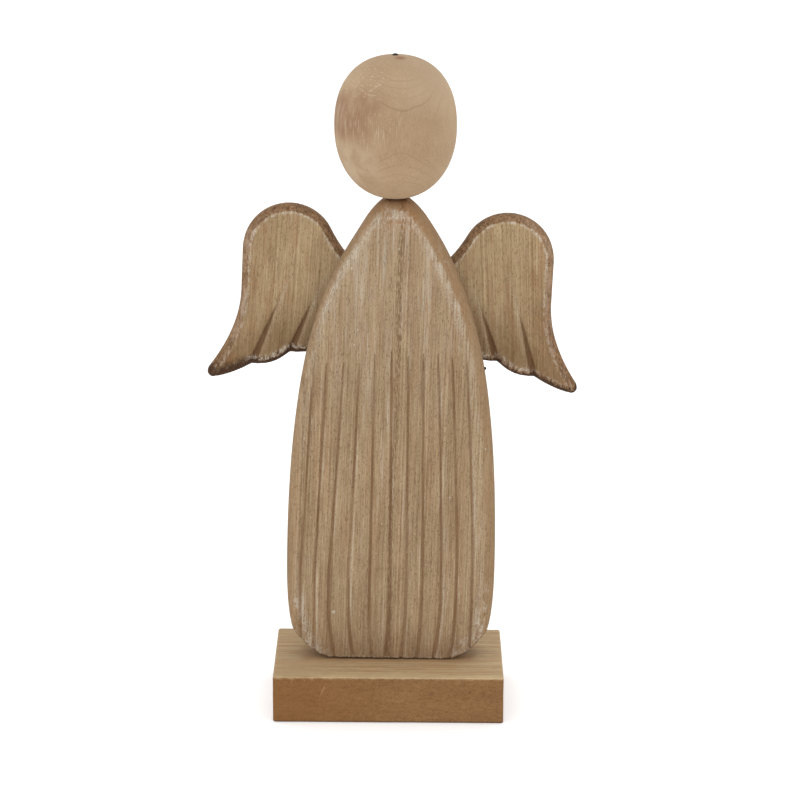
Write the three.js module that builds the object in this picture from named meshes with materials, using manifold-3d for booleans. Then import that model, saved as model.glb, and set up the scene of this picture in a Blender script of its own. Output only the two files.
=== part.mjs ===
// Standing angel ornament in limed wood: a carved board for the robe, a turned egg for the head
// and two sawn wings, fixed upright on a rectangular block.
// Millimetres, +Z up. The origin is the middle of the block's underside, +X is the viewer's right
// and +Y points away from the viewer.
import * as THREE from 'three';
import { mergeVertices } from 'three/addons/utils/BufferGeometryUtils.js';
import Module from 'manifold-3d';

const wasm = await Module();
wasm.setup();

// Base block
const baseWidth = 100;
const baseDepth = 62;
const baseHeight = 21;
const baseEdge = 0.9;
const baseCorner = 1.2;

// Robe board: one long sweep from the neck to the hips, sides drawn in below them, and a hem that is
// sawn across with slanted corners after the edges are rounded over
const robeHeight = 204.5;
const robeThickness = 18;
const robeEdge = 5;
const footHalf = 24.5;
const footHandle = 7.5;
const cornerHalf = 43;
const cornerHeight = 13;
const cornerHandle = 5.8;
const cornerSlope = THREE.MathUtils.degToRad(53);
const sideSlope = THREE.MathUtils.degToRad(75.5);
const sideHandle = 5;
const hipHalf = 45.4;
const hipHeight = 42;
const hipHandle = 16;
const sweepHandle = 90;
const neckHalf = 6.5;
const shoulderHandle = 40.7;
const shoulderSlope = THREE.MathUtils.degToRad(49.5);

// Pleats: V-grooves that taper in below the wings, follow the sides and run out through the hem
const pleatCount = 11;
const pleatDrop = 67.5;
const pleatRunIn = 16;
const pleatDepth = 1.1;
const pleatWidth = 2;
const pleatMargin = 7.6;
const pleatTurn = 22;
const pleatDrawIn = 1.8;
const pleatStep = 9;

// Wings: one outline, sawn twice and mirrored. Their shared upright seam is the line x = 0 and
// their heights count from a level that lies wingDrop below the neck.
const wingThickness = 8;
const wingEdge = 2.2;
const wingDrop = 76.4;
const wingOffset = -0.4;
const wingTilt = THREE.MathUtils.degToRad(1.8);
const shoulderRadius = 20;
const shoulderCentre = new THREE.Vector2(47, 49);
const shoulderStart = THREE.MathUtils.degToRad(152);
const shoulderBow = 19.7;
const wingSideFoot = 31;
const wingFlare = 13.2;
const wingTip = new THREE.Vector2(83.3, -9.8);
const wingTipRadius = 2.4;
const featherNotches = [new THREE.Vector2(61.8, -2.9), new THREE.Vector2(45, 3.5)];
const featherBellies = [
  new THREE.Vector2(70.5, -8.1),
  new THREE.Vector2(53.7, -2.3),
  new THREE.Vector2(37, 4),
];
const featherEnd = new THREE.Vector2(28, 10);
const seamFoot = 12;
const seamHead = 32;
const featherGrooveRise = [27, 20];
const featherGrooveLean = [-8.6, -7.4];
const featherGrooveDepth = 0.9;
const featherGrooveWidth = 2;
const featherRunIn = 9;

// Head: a turned egg, fuller at the crown, with a small flat where it sits on the neck
const headRadius = 25.9;
const headCrown = 29.4;
const headChin = 31;
const headFullness = 2.3;
const headSeatRadius = 5;
const headOffset = -0.3;
const headTilt = THREE.MathUtils.degToRad(-1.15);

// Lost-head nail down the head's axis into the robe's end grain
const neckNailRadius = 1.3;
const neckNailHeadRadius = 1.7;
const neckNailHeadLength = 2.6;
const neckNailProud = 0.7;
const neckNailGrip = 26;
const neckNailPoint = 4;

// Two countersunk screws up through the block into the robe's foot
const screwSpacing = 34;
const screwRadius = 2;
const screwHeadRadius = 4;
const screwHeadHeight = 2.4;
const screwSink = 0.6;
const screwGrip = 22;
const screwPoint = 5;

// Four brads through the wings into the back of the robe
const bradReach = 20;
const bradHeights = { lower: 18, upper: 34 };
const bradRadius = 0.8;
const bradHeadRadius = 1.6;
const bradHeadThickness = 0.8;
const bradSink = 0.3;
const bradGrip = 9.5;
const bradPoint = 2;

// Fits and the slight lean of the hand-assembled figure
const glueLine = 0.3;
const boreClearance = 0.3;
const figureLean = THREE.MathUtils.degToRad(0.55);
const figureOffset = 0.3;

// Roundness of the facets, reach of the cutters past a face, and exactness
const outlineSteps = 12;
const edgeSteps = 4;
const headSides = 36;
const headRings = 20;
const boreSides = 12;
const cutterLift = 1;
const weldDistance = 1e-4;
const halvings = 40;

// Lengths along the axes that follow from the sizes above
const headLength = headCrown + chinDrop(headSeatRadius);
const neckNailLength = neckNailProud + headLength + glueLine + neckNailGrip;
const figureLift = baseHeight + glueLine + footHalf * Math.sin(Math.abs(figureLean));
const screwLength = figureLift - screwSink + screwGrip;
const bradLength = wingThickness - bradSink + glueLine + bradGrip;

// Vertices shared, slivers of no area dropped, ready for joining and cutting
function toSolid(geometry) {
  const bare = new THREE.BufferGeometry();
  bare.setAttribute('position', geometry.getAttribute('position'));
  bare.setIndex(geometry.index);
  const merged = mergeVertices(bare, weldDistance);
  const corners = merged.index.array;
  const triangles = [];
  for (let i = 0; i < corners.length; i += 3) {
    const [a, b, c] = corners.slice(i, i + 3);
    if (a !== b && b !== c && c !== a) triangles.push(a, b, c);
  }
  return new wasm.Manifold(new wasm.Mesh({
    numProp: 3,
    vertProperties: new Float32Array(merged.getAttribute('position').array),
    triVerts: new Uint32Array(triangles),
  }));
}

// The geometry left when every cutter is taken out of it
function cut(geometry, cutters) {
  let solid = toSolid(geometry);
  for (const cutter of cutters) solid = solid.subtract(toSolid(cutter));
  const mesh = solid.getMesh();
  const result = new THREE.BufferGeometry();
  result.setAttribute('position', new THREE.BufferAttribute(mesh.vertProperties, mesh.numProp));
  result.setIndex(new THREE.BufferAttribute(mesh.triVerts, 1));
  return result;
}

function place(mesh, name, x, y, z) {
  mesh.name = name;
  mesh.position.set(x, y, z);
  return mesh;
}

function limedWood(color, roughness) {
  return new THREE.MeshStandardMaterial({ color, roughness, metalness: 0 });
}

function steel(color) {
  return new THREE.MeshStandardMaterial({ color, roughness: 0.4, metalness: 0.9 });
}

// A flat board with its outline upright in X and Z, its front at y = 0 and both edges rounded over
function board(shape, thickness, edge) {
  const geometry = new THREE.ExtrudeGeometry(shape, {
    depth: thickness - 2 * edge,
    bevelThickness: edge,
    bevelSize: edge,
    bevelOffset: -edge,
    bevelSegments: edgeSteps,
    curveSegments: outlineSteps,
  });
  return geometry.rotateX(Math.PI / 2).translate(0, thickness - edge, 0);
}

// A round piece turned about the Z axis from a profile of radius and height
function turned(profile, sides) {
  const points = profile.map(([radius, height]) => new THREE.Vector2(radius, height));
  return new THREE.LatheGeometry(points, sides).rotateX(Math.PI / 2);
}

// A V-shaped cutter along stops on a surface, each with its point, outward normal and depth
function vCutter(stops, width, depth) {
  const spread = width / 2 / depth;
  const positions = [];
  stops.forEach((stop, i) => {
    const before = stops[Math.max(i - 1, 0)].point;
    const after = stops[Math.min(i + 1, stops.length - 1)].point;
    const along = after.clone().sub(before).normalize();
    const across = along.cross(stop.normal).normalize();
    const reach = (stop.depth + cutterLift) * spread;
    const lip = stop.point.clone().addScaledVector(stop.normal, cutterLift);
    positions.push(...stop.point.clone().addScaledVector(stop.normal, -stop.depth));
    positions.push(...lip.clone().addScaledVector(across, reach));
    positions.push(...lip.clone().addScaledVector(across, -reach));
  });
  const faces = [0, 1, 2];
  for (let i = 0; i + 3 < positions.length / 3; i += 3) {
    for (const [p, q] of [[0, 1], [1, 2], [2, 0]]) {
      faces.push(i + q, i + p, i + p + 3);
      faces.push(i + q, i + p + 3, i + q + 3);
    }
  }
  const last = positions.length / 3 - 3;
  faces.push(last, last + 2, last + 1);
  const geometry = new THREE.BufferGeometry();
  geometry.setAttribute('position', new THREE.Float32BufferAttribute(positions, 3));
  geometry.setIndex(faces);
  return geometry;
}

function towards(slope, length) {
  return new THREE.Vector2(Math.cos(slope), Math.sin(slope)).multiplyScalar(length);
}

// Right-hand outline of the robe from the foot to the neck. The left one is its mirror image.
function robeSides() {
  const corner = new THREE.Vector2(cornerHalf, cornerHeight);
  const hem = new THREE.CubicBezierCurve(
    new THREE.Vector2(footHalf, 0),
    new THREE.Vector2(footHalf + footHandle, 0),
    corner.clone().sub(towards(cornerSlope, cornerHandle)),
    corner,
  );
  const side = new THREE.CubicBezierCurve(
    corner,
    corner.clone().add(towards(sideSlope, sideHandle)),
    new THREE.Vector2(hipHalf, hipHeight - hipHandle),
    new THREE.Vector2(hipHalf, hipHeight),
  );
  const sweep = new THREE.CubicBezierCurve(
    new THREE.Vector2(hipHalf, hipHeight),
    new THREE.Vector2(hipHalf, hipHeight + sweepHandle),
    new THREE.Vector2(
      neckHalf + shoulderHandle * Math.cos(shoulderSlope),
      robeHeight - shoulderHandle * Math.sin(shoulderSlope),
    ),
    new THREE.Vector2(neckHalf, robeHeight),
  );
  return { corner, hem, side, sweep };
}

// An even outline from its right-hand points, which run upwards
function mirrored(right) {
  const left = right.map((p) => new THREE.Vector2(-p.x, p.y)).reverse();
  return new THREE.Shape([...right, ...left]);
}

// The board before its hem is sawn: the sides run straight on, until the rounded lower end is waste
function robeBlank() {
  const { corner, side, sweep } = robeSides();
  const waste = (cornerHeight + robeEdge + cutterLift) / Math.sin(sideSlope);
  const right = [
    corner.clone().sub(towards(sideSlope, waste)),
    ...side.getPoints(outlineSteps),
    ...sweep.getPoints(2 * outlineSteps).slice(1),
  ];
  return board(mirrored(right), robeThickness, robeEdge).translate(0, -robeThickness / 2, 0);
}

// What the saw takes off below the hem
function hemWaste() {
  const { corner, hem } = robeSides();
  const outside = hipHalf + cutterLift;
  const below = -robeEdge - 2 * cutterLift;
  const sawn = mirrored([
    new THREE.Vector2(outside, below),
    new THREE.Vector2(outside, cornerHeight),
    corner,
    ...hem.getPoints(outlineSteps).reverse().slice(1),
  ]);
  const depth = robeThickness + 2 * cutterLift;
  const waste = new THREE.ExtrudeGeometry(sawn, { depth, bevelEnabled: false });
  return waste.rotateX(Math.PI / 2).translate(0, depth / 2, 0);
}

// Where a curve that only rises, or only moves outwards, reaches a value of one coordinate
function crossing(curve, axis, value) {
  let low = 0;
  let high = 1;
  const rising = curve.getPoint(1)[axis] > curve.getPoint(0)[axis];
  for (let i = 0; i < halvings; i += 1) {
    const middle = (low + high) / 2;
    const short = curve.getPoint(middle)[axis] < value;
    if (short === rising) low = middle;
    else high = middle;
  }
  return curve.getPoint(low);
}

function robeHalfWidth(height) {
  const { side, sweep } = robeSides();
  return crossing(height < hipHeight ? side : sweep, 'y', height).x;
}

function hemHeight(x) {
  return x <= footHalf ? 0 : crossing(robeSides().hem, 'x', x).y;
}

// Pleat number index, counted from the middle one: down the face and out through the hem
function pleatCutter(index) {
  const top = robeHeight - pleatDrop;
  const outer = (pleatCount - 1) / 2;
  const across = (height) => {
    const reach = robeHalfWidth(Math.max(height, pleatTurn)) - pleatMargin;
    const drawn = pleatDrawIn * Math.max(0, 1 - height / pleatTurn);
    return (reach - drawn) * index / outer;
  };
  const bottom = hemHeight(Math.abs(across(0))) - pleatWidth;
  const steps = Math.ceil((top - bottom) / pleatStep);
  const stops = [];
  for (let i = 0; i <= steps; i += 1) {
    const height = top - (top - bottom) * i / steps;
    stops.push({
      point: new THREE.Vector3(across(height), -robeThickness / 2, height),
      normal: new THREE.Vector3(0, -1, 0),
      depth: pleatDepth * Math.min(1, (top - height) / pleatRunIn),
    });
  }
  return vCutter(stops, pleatWidth, pleatDepth);
}

// The right wing's outline from the seam over the shoulder to the tip and back under the feathers
function wingShape() {
  const shape = new THREE.Shape();
  const side = shoulderCentre.x + shoulderRadius;
  const flare = new THREE.Vector2(side, wingFlare);
  const arm = shoulderCentre.clone().add(towards(shoulderStart, shoulderRadius));
  const downArm = new THREE.Vector2(-Math.sin(shoulderStart), Math.cos(shoulderStart));
  const bow = arm.clone().addScaledVector(downArm, shoulderBow);
  shape.moveTo(glueLine / 2, seamFoot);
  shape.lineTo(glueLine / 2, seamHead);
  shape.quadraticCurveTo(bow.x, bow.y, arm.x, arm.y);
  shape.absarc(shoulderCentre.x, shoulderCentre.y, shoulderRadius, shoulderStart, 0, true);
  shape.lineTo(side, wingSideFoot);
  const toFlare = flare.clone().sub(wingTip).normalize();
  const toBelly = featherBellies[0].clone().sub(wingTip).normalize();
  const half = Math.acos(toFlare.dot(toBelly)) / 2;
  const reach = wingTipRadius / Math.tan(half);
  const arcStart = wingTip.clone().addScaledVector(toFlare, reach);
  const middle = toFlare.clone().add(toBelly).normalize();
  const centre = wingTip.clone().addScaledVector(middle, wingTipRadius / Math.sin(half));
  const arcEnd = wingTip.clone().addScaledVector(toBelly, reach);
  shape.quadraticCurveTo(flare.x, flare.y, arcStart.x, arcStart.y);
  const from = arcStart.clone().sub(centre).angle();
  const to = arcEnd.clone().sub(centre).angle();
  shape.absarc(centre.x, centre.y, wingTipRadius, from, to, true);
  [...featherNotches, featherEnd].forEach((notch, i) => {
    shape.quadraticCurveTo(featherBellies[i].x, featherBellies[i].y, notch.x, notch.y);
  });
  return shape;
}

// Two grooves on the wing's face part its three feathers, each running out at a notch
function featherCutter(index, side) {
  const notch = featherNotches[index];
  const rise = new THREE.Vector2(featherGrooveLean[index], featherGrooveRise[index]);
  const length = rise.length();
  const stop = (distance, depth) => {
    const spot = notch.clone().addScaledVector(rise, distance / length);
    return { point: new THREE.Vector3(side * spot.x, 0, spot.y), normal: new THREE.Vector3(0, -1, 0), depth };
  };
  const stops = [
    stop(length, 0),
    stop(length - featherRunIn, featherGrooveDepth),
    stop(-featherGrooveWidth, featherGrooveDepth),
  ];
  return vCutter(stops, featherGrooveWidth, featherGrooveDepth);
}

// Brad lying along -Y with its head's outer face at the origin, or the bore that takes it
function brad(clearance, overrun) {
  const profile = [
    [0, -overrun],
    [bradHeadRadius + clearance, -overrun],
    [bradHeadRadius + clearance, bradHeadThickness + clearance],
    [bradRadius + clearance, bradHeadThickness + clearance],
    [bradRadius + clearance, bradLength - bradPoint + clearance],
    [0, bradLength + clearance],
  ];
  return turned(profile, boreSides).rotateX(Math.PI / 2);
}

// Screw standing on its head, or the countersunk bore that takes it
function screw(clearance, overrun) {
  const profile = [
    [0, -overrun],
    [screwHeadRadius + clearance, -overrun],
    [screwHeadRadius + clearance, 0],
    [screwRadius + clearance, screwHeadHeight],
    [screwRadius + clearance, screwLength - screwPoint + clearance],
    [0, screwLength + clearance],
  ];
  return turned(profile, boreSides);
}

// Nail pointing down with the top of its head at the origin, or the bore that takes it
function neckNail(clearance) {
  const profile = [
    [0, -neckNailLength - clearance],
    [neckNailRadius + clearance, -neckNailLength + neckNailPoint - clearance],
    [neckNailRadius + clearance, -neckNailHeadLength - clearance],
    [neckNailHeadRadius + clearance, -neckNailHeadLength - clearance],
    [neckNailHeadRadius + clearance, 0],
    [0, 0],
  ];
  return turned(profile, boreSides);
}

// How far below the head's widest ring its rounded chin narrows to a radius
function chinDrop(radius) {
  return headChin * (1 - (radius / headRadius) ** headFullness) ** (1 / headFullness);
}

// Egg profile about the widest ring, rounder than an ellipse, with the chin cut flat
function headProfile() {
  const start = -Math.acos((headSeatRadius / headRadius) ** (headFullness / 2));
  const profile = [[0, -chinDrop(headSeatRadius)]];
  for (let i = 0; i <= headRings; i += 1) {
    const turn = start + (Math.PI / 2 - start) * i / headRings;
    const height = turn < 0 ? -headChin : headCrown;
    profile.push([
      headRadius * Math.abs(Math.cos(turn)) ** (2 / headFullness),
      height * Math.abs(Math.sin(turn)) ** (2 / headFullness),
    ]);
  }
  profile[profile.length - 1][0] = 0;
  return profile;
}

const angel = new THREE.Group();

// The figure stands on the block and leans a little, and its wings tilt a little more
const figure = new THREE.Group();
figure.position.set(figureOffset, 0, figureLift);
figure.rotation.y = figureLean;
figure.updateMatrix();
angel.add(figure);

const wings = new THREE.Group();
wings.position.set(wingOffset, robeThickness / 2 + glueLine, robeHeight - wingDrop);
wings.rotation.y = wingTilt;
wings.updateMatrix();
figure.add(wings);

// The head sits on the neck with a small tilt of its own, and its nail follows it
const seat = new THREE.Group();
const seatLift = glueLine + headSeatRadius * Math.sin(Math.abs(headTilt));
seat.position.set(headOffset, 0, robeHeight + seatLift);
seat.rotation.y = headTilt;
seat.updateMatrix();
figure.add(seat);

const screwFoot = screwSink - figureLift;
const nailTop = headLength + neckNailProud;

const screwPlaces = { left: -screwSpacing / 2, right: screwSpacing / 2 };
const bradPlaces = [];
for (const [hand, side] of [['left', -1], ['right', 1]]) {
  for (const [level, height] of Object.entries(bradHeights)) {
    bradPlaces.push({ name: `${hand}_wing_brad_${level}`, side, x: side * bradReach, z: height });
  }
}

// Base block with its edges eased all round and two countersunk holes from below
function baseBlock() {
  const w = baseWidth / 2 - baseCorner;
  const d = baseDepth / 2 - baseCorner;
  const plan = new THREE.Shape();
  plan.absarc(w, d, baseCorner, 0, Math.PI / 2);
  plan.absarc(-w, d, baseCorner, Math.PI / 2, Math.PI);
  plan.absarc(-w, -d, baseCorner, Math.PI, 1.5 * Math.PI);
  plan.absarc(w, -d, baseCorner, 1.5 * Math.PI, 2 * Math.PI);
  const block = new THREE.ExtrudeGeometry(plan, {
    depth: baseHeight - 2 * baseEdge,
    bevelThickness: baseEdge,
    bevelSize: baseEdge,
    bevelOffset: -baseEdge,
    bevelSegments: 2,
    curveSegments: 2,
  });
  block.translate(0, 0, baseEdge);
  const bores = Object.values(screwPlaces).map((x) => (
    screw(boreClearance, screwSink + cutterLift).translate(x, 0, screwFoot).applyMatrix4(figure.matrix)
  ));
  return cut(block, bores);
}
angel.add(place(new THREE.Mesh(baseBlock(), limedWood('#9a7650', 0.6)), 'base_block', 0, 0, 0));

// Robe board: hem sawn across, pleats on its face, bores for the screws, the brads and the neck nail
function robeBoard() {
  const cutters = [hemWaste()];
  for (let i = 0; i < pleatCount; i += 1) cutters.push(pleatCutter(i - (pleatCount - 1) / 2));
  for (const x of Object.values(screwPlaces)) {
    cutters.push(screw(boreClearance, 0).translate(x, 0, screwFoot));
  }
  for (const { x, z } of bradPlaces) {
    cutters.push(brad(boreClearance, 0).translate(x, wingThickness - bradSink, z).applyMatrix4(wings.matrix));
  }
  cutters.push(neckNail(boreClearance).translate(0, 0, nailTop).applyMatrix4(seat.matrix));
  return cut(robeBlank(), cutters);
}
figure.add(place(new THREE.Mesh(robeBoard(), limedWood('#a58660', 0.65)), 'robe_board', 0, 0, 0));

for (const [hand, x] of Object.entries(screwPlaces)) {
  const piece = new THREE.Mesh(screw(0, 0), steel('#8f8b80'));
  figure.add(place(piece, `base_screw_${hand}`, x, 0, screwFoot));
}

// Wings: the same outline on either side of the seam, feather grooves on the face only
for (const [hand, side] of [['left', -1], ['right', 1]]) {
  const outline = wingShape().getPoints(outlineSteps / 2).map((p) => new THREE.Vector2(side * p.x, p.y));
  const cutters = featherNotches.map((notch, i) => featherCutter(i, side));
  for (const { side: own, x, z } of bradPlaces) {
    if (own === side) {
      cutters.push(brad(boreClearance, bradSink + cutterLift).translate(x, wingThickness - bradSink, z));
    }
  }
  const geometry = cut(board(new THREE.Shape(outline), wingThickness, wingEdge), cutters);
  wings.add(place(new THREE.Mesh(geometry, limedWood('#a08059', 0.65)), `${hand}_wing`, 0, 0, 0));
}

for (const { name, x, z } of bradPlaces) {
  const piece = new THREE.Mesh(brad(0, 0), steel('#7c766c'));
  wings.add(place(piece, name, x, wingThickness - bradSink, z));
}

// Head bored right through for the nail that holds it
const headBore = neckNail(boreClearance).translate(0, 0, nailTop);
const headBlank = turned(headProfile(), headSides).translate(0, 0, chinDrop(headSeatRadius));
const head = new THREE.Mesh(cut(headBlank, [headBore]), limedWood('#c9ad8c', 0.5));
seat.add(place(head, 'head', 0, 0, 0));

const nail = new THREE.Mesh(neckNail(0), steel('#6f665c'));
seat.add(place(nail, 'neck_nail', 0, 0, nailTop));

export default angel;
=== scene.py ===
import math

import bpy
import numpy as np
from mathutils import Matrix, Vector


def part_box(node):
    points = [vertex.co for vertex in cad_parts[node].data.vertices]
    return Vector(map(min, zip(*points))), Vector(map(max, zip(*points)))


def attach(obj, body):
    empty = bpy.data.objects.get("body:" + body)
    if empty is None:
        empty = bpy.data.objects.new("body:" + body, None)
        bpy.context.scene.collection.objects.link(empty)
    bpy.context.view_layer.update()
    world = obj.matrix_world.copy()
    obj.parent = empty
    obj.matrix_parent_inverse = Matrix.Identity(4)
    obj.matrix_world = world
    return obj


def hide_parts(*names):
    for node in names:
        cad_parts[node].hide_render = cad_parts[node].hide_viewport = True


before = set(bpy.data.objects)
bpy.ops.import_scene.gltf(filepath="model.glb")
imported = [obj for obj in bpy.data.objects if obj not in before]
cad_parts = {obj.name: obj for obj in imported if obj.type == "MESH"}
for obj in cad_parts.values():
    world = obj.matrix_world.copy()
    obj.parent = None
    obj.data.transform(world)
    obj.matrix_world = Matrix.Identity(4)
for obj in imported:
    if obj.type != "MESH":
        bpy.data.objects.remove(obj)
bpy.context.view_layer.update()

# Base block
# A sawn block of pale softwood with its grain along its length. Its edges are eased with sandpaper,
# the sawn sides have soaked up more of the brown stain than the top, and two screw holes come up
# through it from below, countersunk.
MM = 0.001
BASE_CUTS = 23
BASE_EASED_EDGE = 0.9 * MM
BASE_UNEVEN = 0.22 * MM
BASE_UNEVEN_PITCH = 16 * MM
SCREW_PLACES = (-17, 17)
SCREW_HOLE_RADIUS = 4.3
SCREW_SHANK_RADIUS = 2.3
COUNTERSINK_DEPTH = 3.0
COUNTERSINK_START = -0.4
FIGURE_FOOT = Vector((0.3, 0, 21.535)) * MM
FIGURE_LEAN = math.radians(0.55)
figure_place = Matrix.Translation(FIGURE_FOOT) @ Matrix.Rotation(FIGURE_LEAN, 4, "Y")
base_low, base_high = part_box("base_block")


def only(piece):
    """Selects one object, active, and nothing else"""
    bpy.ops.object.select_all(action="DESELECT")
    piece.select_set(True)
    bpy.context.view_layer.objects.active = piece


def named(name):
    """The object that was just added, under its own name"""
    piece = bpy.context.object
    piece.name = name
    piece.data.name = name
    return piece


def fixed_in_place(piece, place):
    """Puts a piece where it belongs, with that place in its mesh"""
    only(piece)
    piece.matrix_world = place @ piece.matrix_world
    bpy.ops.object.transform_apply(location=True, rotation=True, scale=True)


def worked(piece, kind, **settings):
    """Adds a modifier to a piece and applies it"""
    only(piece)
    modifier = piece.modifiers.new(kind.lower(), kind)
    for setting, value in settings.items():
        setattr(modifier, setting, value)
    bpy.ops.object.modifier_apply(modifier=modifier.name)


def smoothed(piece, degrees):
    """Shades a piece smooth, except at edges sharper than an angle"""
    only(piece)
    bpy.ops.object.shade_smooth_by_angle(angle=math.radians(degrees))


def cut_out(piece, cutter):
    """Takes a cutter out of a piece and throws the cutter away"""
    worked(piece, "BOOLEAN", operation="DIFFERENCE", solver="EXACT", object=cutter)
    bpy.data.objects.remove(cutter)


def pick_faces(piece, wanted):
    """Leaves edit mode open with only the wanted faces selected"""
    only(piece)
    mesh = piece.data
    for parts in (mesh.vertices, mesh.edges, mesh.polygons):
        parts.foreach_set("select", [False] * len(parts))
    for face in mesh.polygons:
        face.select = wanted(face)
    bpy.ops.object.mode_set(mode="EDIT")
    bpy.ops.mesh.select_mode(type="FACE")


bpy.ops.object.select_all(action="DESELECT")
bpy.ops.mesh.primitive_cube_add(size=1, location=(base_low + base_high) / 2, scale=base_high - base_low)
base = named("base_block_stained")
fixed_in_place(base, Matrix.Identity(4))
bpy.ops.object.mode_set(mode="EDIT")
bpy.ops.mesh.subdivide(number_cuts=BASE_CUTS)
bpy.ops.mesh.select_all(action="DESELECT")
bpy.ops.mesh.edges_select_sharp(sharpness=math.radians(60))
bpy.ops.mesh.bevel(offset=BASE_EASED_EDGE, segments=4, affect="EDGES")
bpy.ops.object.mode_set(mode="OBJECT")
sanding = bpy.data.textures.new("sanding", "CLOUDS")
sanding.noise_scale = BASE_UNEVEN_PITCH
worked(base, "DISPLACE", texture=sanding, texture_coords="LOCAL", strength=BASE_UNEVEN, mid_level=0.6)
for across in SCREW_PLACES:
    bpy.ops.object.select_all(action="DESELECT")
    bpy.ops.mesh.primitive_cone_add(
        vertices=48,
        radius1=SCREW_HOLE_RADIUS * MM,
        radius2=SCREW_SHANK_RADIUS * MM,
        depth=COUNTERSINK_DEPTH * MM,
        location=(FIGURE_FOOT.x + across * MM, 0, (COUNTERSINK_DEPTH / 2 + COUNTERSINK_START) * MM),
    )
    cut_out(base, named("countersink"))
smoothed(base, 35)


def stain(red, green, blue):
    """A colour as it is seen on a screen, 0 to 255, as light for a shader"""
    seen = np.array([red, green, blue]) / 255
    light = np.where(seen <= 0.04045, seen / 12.92, ((seen + 0.055) / 1.055) ** 2.4)
    return (*light, 1)


def add_node(tree, kind, inputs, **settings):
    """A shader node with its settings made and its inputs linked or filled in"""
    node = tree.nodes.new("ShaderNode" + kind)
    for setting, value in settings.items():
        setattr(node, setting, value)
    for name, value in inputs.items():
        if isinstance(value, bpy.types.NodeSocket):
            tree.links.new(value, node.inputs[name])
        else:
            node.inputs[name].default_value = value
    return node


def sums(tree, operation, *values):
    """One step of arithmetic on values that vary over the surface"""
    return add_node(tree, "Math", dict(enumerate(values)), operation=operation).outputs[0]


def product(tree, first, *others):
    """Several values multiplied together"""
    for other in others:
        first = sums(tree, "MULTIPLY", first, other)
    return first


def fade(tree, value, none, full):
    """0 where the value is none, smoothly up to 1 where it is full"""
    inputs = {"Value": value, "From Min": none, "From Max": full}
    return add_node(tree, "MapRange", inputs, interpolation_type="SMOOTHSTEP").outputs[0]


def coat(tree, under, over, *amounts):
    """One colour laid over another by the product of the amounts"""
    inputs = {0: product(tree, *amounts), 6: under, 7: over}
    return add_node(tree, "Mix", inputs, data_type="RGBA").outputs[2]


def noise(tree, where, scale, detail=2.0, roughness=0.5):
    """Soft noise with its own scale along each axis, per millimetre"""
    spread = add_node(tree, "VectorMath", {0: where, 1: scale}, operation="MULTIPLY").outputs[0]
    inputs = {"Vector": spread, "Scale": 1.0, "Detail": detail, "Roughness": roughness}
    return add_node(tree, "TexNoise", inputs).outputs[0]


def wood_space(tree, turn=(0, 0, 0), shift=(0, 0, 0)):
    """Millimetres in the piece, turned so that the grain lies along Z, from another part of the log"""
    here = add_node(tree, "TexCoord", {}).outputs["Object"]
    inputs = {"Vector": here, "Location": shift, "Rotation": turn, "Scale": (1 / MM, 1 / MM, 1 / MM)}
    return add_node(tree, "Mapping", inputs).outputs[0]


def split(tree, vector):
    """A place's three distances, across, back and up"""
    return add_node(tree, "SeparateXYZ", {0: vector}).outputs


def blend(tree, *shares):
    """Several noises added up about one half, each with its own weight"""
    level = 0.5 - 0.5 * sum(weight for value, weight in shares)
    for value, weight in shares:
        level = sums(tree, "MULTIPLY_ADD", value, weight, level)
    return level


def grain(tree, place, layer, lean, wander):
    """Growth layers, fibres, open pores and the fine speckle of sanded wood, each 0 to 1"""
    x, y, _ = split(tree, place)
    drift = noise(tree, place, (0.02, 0.02, 0.004), 2)
    depth = sums(tree, "MULTIPLY_ADD", y, lean, x)
    depth = sums(tree, "MULTIPLY_ADD", drift, wander, depth)
    inputs = {"W": sums(tree, "DIVIDE", depth, layer), "Scale": 1.0, "Detail": 2.0, "Roughness": 0.55}
    layers = add_node(tree, "TexNoise", inputs, noise_dimensions="1D").outputs[0]
    fibres = noise(tree, place, (2.4, 2.4, 0.09), 3, 0.65)
    pores = fade(tree, noise(tree, place, (3.2, 3.2, 0.5), 1), 0.6, 0.74)
    speckle = noise(tree, place, (1.8, 1.8, 1.2), 3, 0.7)
    return layers, fibres, pores, speckle


def open_material(name):
    """A new material and the tree of nodes that makes its finish"""
    material = bpy.data.materials.new(name)
    material.use_nodes = True
    return material, material.node_tree


def finish_shader(tree, colour, roughness, height, relief, gloss):
    """Colour, roughness and fine relief on the material's own shader"""
    shader = tree.nodes["Principled BSDF"]
    shader.inputs["Specular IOR Level"].default_value = gloss
    bump = add_node(tree, "Bump", {"Height": height, "Distance": relief, "Strength": 1.0})
    tree.links.new(colour, shader.inputs["Base Color"])
    tree.links.new(roughness, shader.inputs["Roughness"])
    tree.links.new(bump.outputs[0], shader.inputs["Normal"])


def hand_over(piece, material, slot, *nodes):
    """Gives a finished piece its material, hangs it from the root and hides the CAD nodes it stands for; the
    slot is not used
    """
    piece.data.materials.clear()
    piece.data.materials.append(material)
    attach(piece, "root")
    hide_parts(*nodes)


BASE_TOP_BROWN = stain(128, 100, 66)
BASE_TOP_PALE = stain(218, 194, 154)
BASE_SIDE_BROWN = stain(84, 52, 24)
BASE_SIDE_PALE = stain(160, 122, 81)
BASE_RUDDY = stain(134, 84, 40)
BASE_STREAK_AND_SHADOW = stain(148, 104, 64)
BASE_FOOT_SHADOW = stain(84, 60, 40)
ROBE_FOOT_HALVES = (35, 9)
base_stain, tree = open_material("brown_stained_block")
place = wood_space(tree, turn=(0, -math.pi / 2, 0), shift=(37, 11, 240))
layers, fibres, pores, speckle = grain(tree, place, 2.6, 0.9, 9)
here_x, here_y, here_z = split(tree, wood_space(tree))
mottle = noise(tree, place, (0.8, 0.8, 0.35), 4, 0.7)
soaked = noise(tree, place, (0.14, 0.14, 0.05), 3, 0.6)
top_level = blend(tree, (layers, 0.4), (fibres, 0.35), (soaked, 0.5), (mottle, 0.5))
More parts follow.
